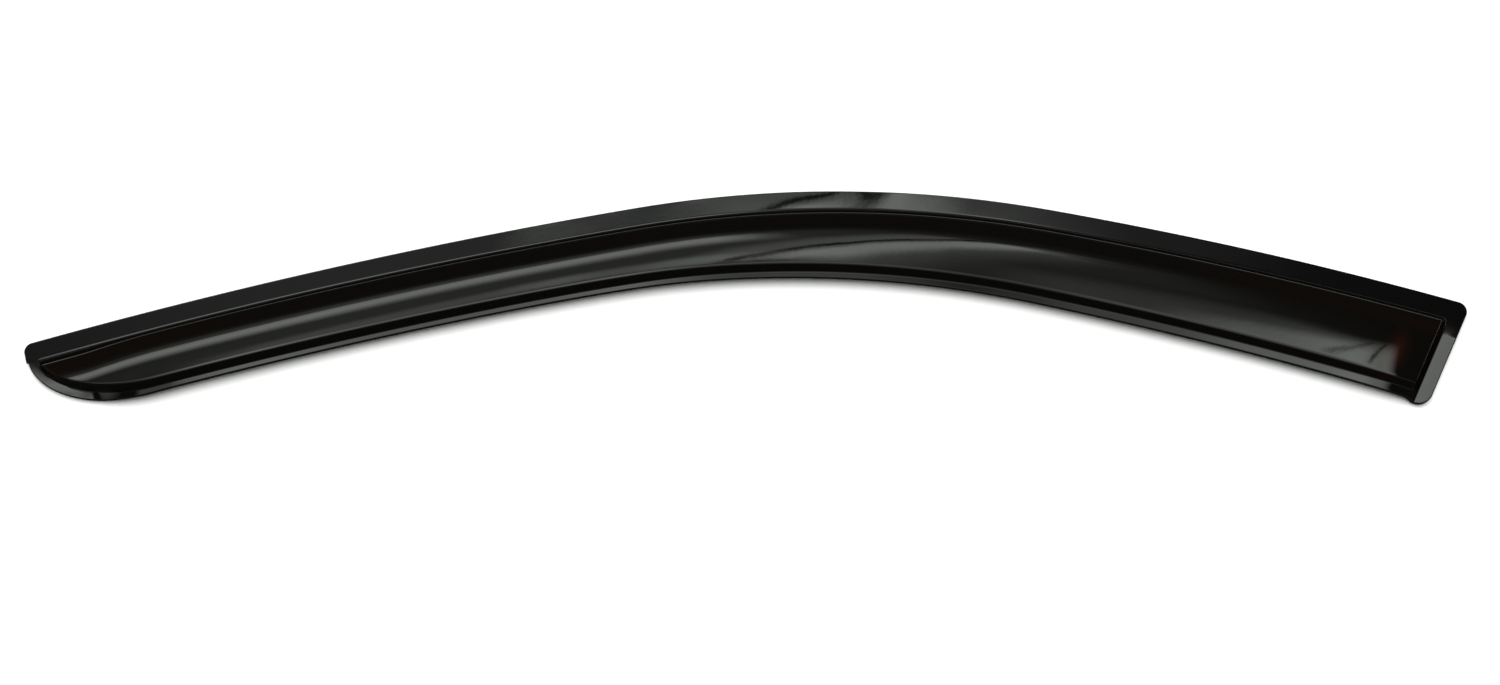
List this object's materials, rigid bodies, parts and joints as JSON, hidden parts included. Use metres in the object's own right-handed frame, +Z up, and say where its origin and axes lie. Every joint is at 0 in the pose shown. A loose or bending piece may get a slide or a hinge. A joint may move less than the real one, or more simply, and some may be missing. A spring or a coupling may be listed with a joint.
{
  "type": "window rain deflector",
  "caption": "Long curved smoke acrylic deflector for the top of a car's front side window: flat taped flange, raised bulged panel, lip, rounded nose and rear tab.",
  "frame": {"origin": "on the ground under the middle of the part's own box, as it lies on its flange", "axes": "+X along the part from the nose to the rear tab, +Y towards the bent top edge, +Z up, away from the window"},
  "size_m": [1.1106, 0.1752, 0.0157],
  "materials": {
    "smoke_acrylic": "polished smoke acrylic, nearly black and glossy",
    "foam_tape": "matt closed-cell foam",
    "liner_film": "satin red film"
  },
  "bodies": {
    "root": {"deflector": "smoke_acrylic", "foam_tape": "foam_tape", "peel_off_liner": "liner_film"}
  },
  "joints": []
}
